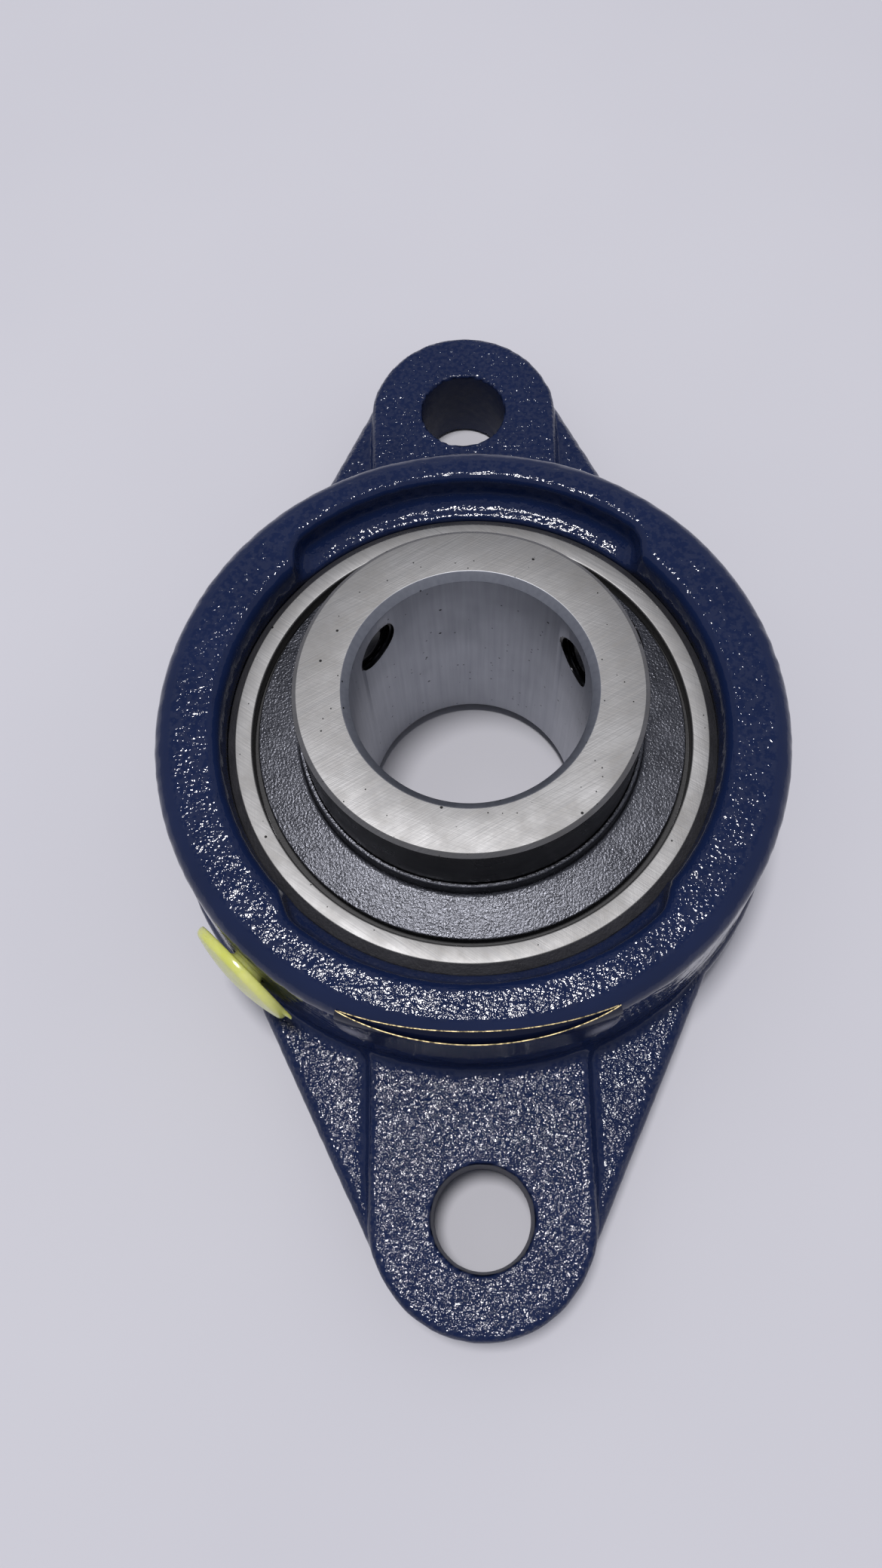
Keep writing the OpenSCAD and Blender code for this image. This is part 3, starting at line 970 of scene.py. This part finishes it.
def label_foil():
    """Black foil with a crinkle, and a painted reflection near each of its lower corners: a soft light grey
    spot in the base colour.
    """
    # Place, half size and blur, in mm, of the two painted reflection spots
    reflection_spot_middle = (16.8, 27.0)
    reflection_spot_half = (0.4, 0.6)
    reflection_spot_blur = 2.6
    material, tree, shader, place = start_material("label_foil")
    crinkle = noise(tree, stretched(tree, place, (0.8, 0.8, 1.6)), 1, 4, 0.65)
    parts = add(tree, "SeparateXYZ", {0: place}).outputs
    side = calc(tree, "ABSOLUTE", parts["X"])
    past = []
    for value, middle, half in zip((side, parts["Z"]), reflection_spot_middle, reflection_spot_half):
        offset = calc(tree, "ABSOLUTE", calc(tree, "SUBTRACT", value, middle))
        past.append(calc(tree, "MAXIMUM", calc(tree, "SUBTRACT", offset, half), 0.0))
    squares = [calc(tree, "POWER", reach, 2) for reach in past]
    away = calc(tree, "SQRT", calc(tree, "ADD", *squares))
    reflection_spot = remap(tree, away, 0, reflection_spot_blur, 1, 0)
    # The light grey spots mixed into the base colour are painted reflections of the glittering flange below,
    # not a print on the foil
    color = blend_colors(tree, reflection_spot, (0.005, 0.008, 0.026), (0.34, 0.34, 0.38))
    finish_material(tree, shader, Base_Color=color, Roughness=remap(tree, crinkle, 0.3, 0.7, 0.14, 0.26),
                    Specular_IOR_Level=0.25, Normal=bump(tree, crinkle, 0.03))
    return material


def gold_edge():
    material, tree, shader, place = start_material("gold_edge")
    wear = noise(tree, place, 1.6, 3, 0.7)
    color = blend_colors(tree, remap(tree, wear, 0.4, 0.6, 0, 1), (0.05, 0.04, 0.02), (0.42, 0.34, 0.18))
    finish_material(tree, shader, Base_Color=color, Metallic=0.9, Roughness=0.45,
                    Normal=bump(tree, wear, 0.02))
    return material


def pale_floor():
    material, tree, shader, place = start_material("pale_floor")
    cloud = noise(tree, place, 0.01, 3, 0.5)
    color = blend_colors(tree, cloud, (0.60, 0.60, 0.645), (0.66, 0.66, 0.70))
    finish_material(tree, shader, Base_Color=color, Roughness=0.85)
    return material


# ---------------------------------------------------------------- stage

def make_floor():
    size = 3.0
    drop = 0.0002
    mesh = bpy.data.meshes.new("floor")
    corners = [(-size, -size, 0), (size, -size, 0), (size, size, 0), (-size, size, 0)]
    mesh.from_pydata(corners, [], [(0, 1, 2, 3)])
    floor = bpy.data.objects.new("floor", mesh)
    floor.location.z = -drop
    mesh.materials.append(pale_floor())
    bpy.context.scene.collection.objects.link(floor)


def area_light(name, place, target, size, power, color):
    light = bpy.data.lights.new(name, "AREA")
    light.shape = "DISK"
    light.size = size
    light.energy = power
    light.color = color
    lamp = bpy.data.objects.new(name, light)
    lamp.location = place
    lamp.rotation_mode = "QUATERNION"
    lamp.rotation_quaternion = (Vector(target) - Vector(place)).to_track_quat("-Z", "Y")
    bpy.context.scene.collection.objects.link(lamp)


def make_light():
    """One bright lamp nearly overhead in a dim, even room."""
    area_light("ceiling_lamp", place=(-0.07, 0.03, 1.2), target=(0, 0, 0), size=0.2, power=9.4,
               color=(1.0, 0.98, 0.99))
    world = bpy.data.worlds.new("room")
    bpy.context.scene.world = world
    world.use_nodes = True
    background = world.node_tree.nodes["Background"]
    background.inputs["Color"].default_value = (0.88, 0.89, 1.0, 1)
    background.inputs["Strength"].default_value = 0.37


def make_camera():
    """Hand-held camera above the -Y lobe, looking down at the unit."""
    elevation = math.radians(69.73)
    azimuth = math.radians(-4.06)
    roll = math.radians(5.17)
    place = Vector((-0.14, -67.37, 190.39)) * MM
    ahead = Vector((math.sin(azimuth) * math.cos(elevation), math.cos(azimuth) * math.cos(elevation),
                    -math.sin(elevation)))
    level = Vector((math.cos(azimuth), -math.sin(azimuth), 0))
    down = ahead.cross(level)
    right = math.cos(roll) * level + math.sin(roll) * down
    below = math.cos(roll) * down - math.sin(roll) * level
    data = bpy.data.cameras.new("camera")
    data.sensor_width = 36
    data.lens = 28.315
    data.clip_start = 0.01
    camera = bpy.data.objects.new("camera", data)
    turn = Matrix((right, -below, -ahead)).transposed()
    camera.matrix_world = Matrix.Translation(place) @ turn.to_4x4()
    bpy.context.scene.collection.objects.link(camera)
    bpy.context.scene.camera = camera


def paint_cad_nodes(materials):
    """Gives the CAD nodes that no piece replaces their own materials."""
    for prefix, material in materials.items():
        for name, node in frame["nodes"].items():
            if name.startswith(prefix):
                node.data.materials.clear()
                node.data.materials.append(material)


black_oxide = black_steel("black_oxide", (0.012, 0.012, 0.014), 0.3, 4, 0.01)
screw_black = black_steel("screw_black", (0.02, 0.02, 0.022), 0.3, 3, 0.01)
flinger_black = black_steel("flinger_stipple", (0.092, 0.095, 0.107), 0.31, 3.0, 0.13, metallic=1.0)
sheet_steel = turned_steel("sheet_steel", (0.5, 0.5, 0.52), 0.3)
rubber = seal_rubber()

make_housing(casting_paint())
make_outer_ring(ground_steel("outer_ring_ground", math.radians(35)),
                turned_steel("turned_steel", (0.6, 0.6, 0.61), 0.25),
                black_steel("rim_overspray", (0.03, 0.03, 0.034), 0.5, 1.8, 0.14, metallic=0.0))
make_inner_ring(ground_steel("inner_ring_ground", math.radians(-30)), bore_steel(), black_oxide, screw_black)
make_flinger("flinger_front_pressed", "flinger_front", False, flinger_black)
make_flinger("flinger_back_pressed", "flinger_back", True, flinger_black)
for number, azimuth in enumerate(screw_azimuths, 1):
    make_set_screw(number, azimuth, screw_black)
make_grease_plug(plug_plastic())
make_label(label_foil(), gold_edge())
paint_cad_nodes({
    "ball": turned_steel("ball_steel", (0.7, 0.7, 0.72), 0.08),
    "cage": sheet_steel,
    "seal_core": sheet_steel,
    "seal_front": rubber,
    "seal_back": rubber,
})

make_floor()
make_light()
make_camera()
bpy.context.scene.view_settings.view_transform = "Standard"
